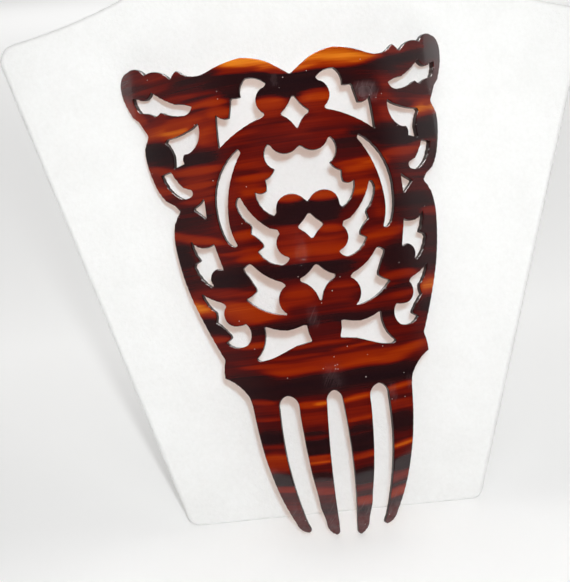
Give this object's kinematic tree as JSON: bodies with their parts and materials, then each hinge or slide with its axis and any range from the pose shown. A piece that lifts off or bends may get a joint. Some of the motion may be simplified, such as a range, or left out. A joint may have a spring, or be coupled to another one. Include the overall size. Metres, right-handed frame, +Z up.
{
  "type": "mantilla comb on a neck bust",
  "caption": "Tall curved hair comb with pierced scrollwork, winged top and long tapering teeth, leaning on a flat neck-shaped display bust with an easel leg.",
  "frame": {"origin": "on the floor under the middle of the whole, midway between the comb's front and the heel of the easel leg", "axes": "+Z up, -Y the side that the comb faces, +X to the right as seen from that side; bust and comb lean back 20 degrees towards +Y"},
  "size_m": [0.239, 0.1452, 0.2556],
  "materials": {
    "tortoiseshell": "polished imitation tortoiseshell, banded amber, red brown and near black",
    "velvet": "fine white velvet nap over board"
  },
  "bodies": {
    "root": {"comb": "tortoiseshell", "neck_bust": "velvet", "easel_leg": "velvet"}
  },
  "joints": []
}
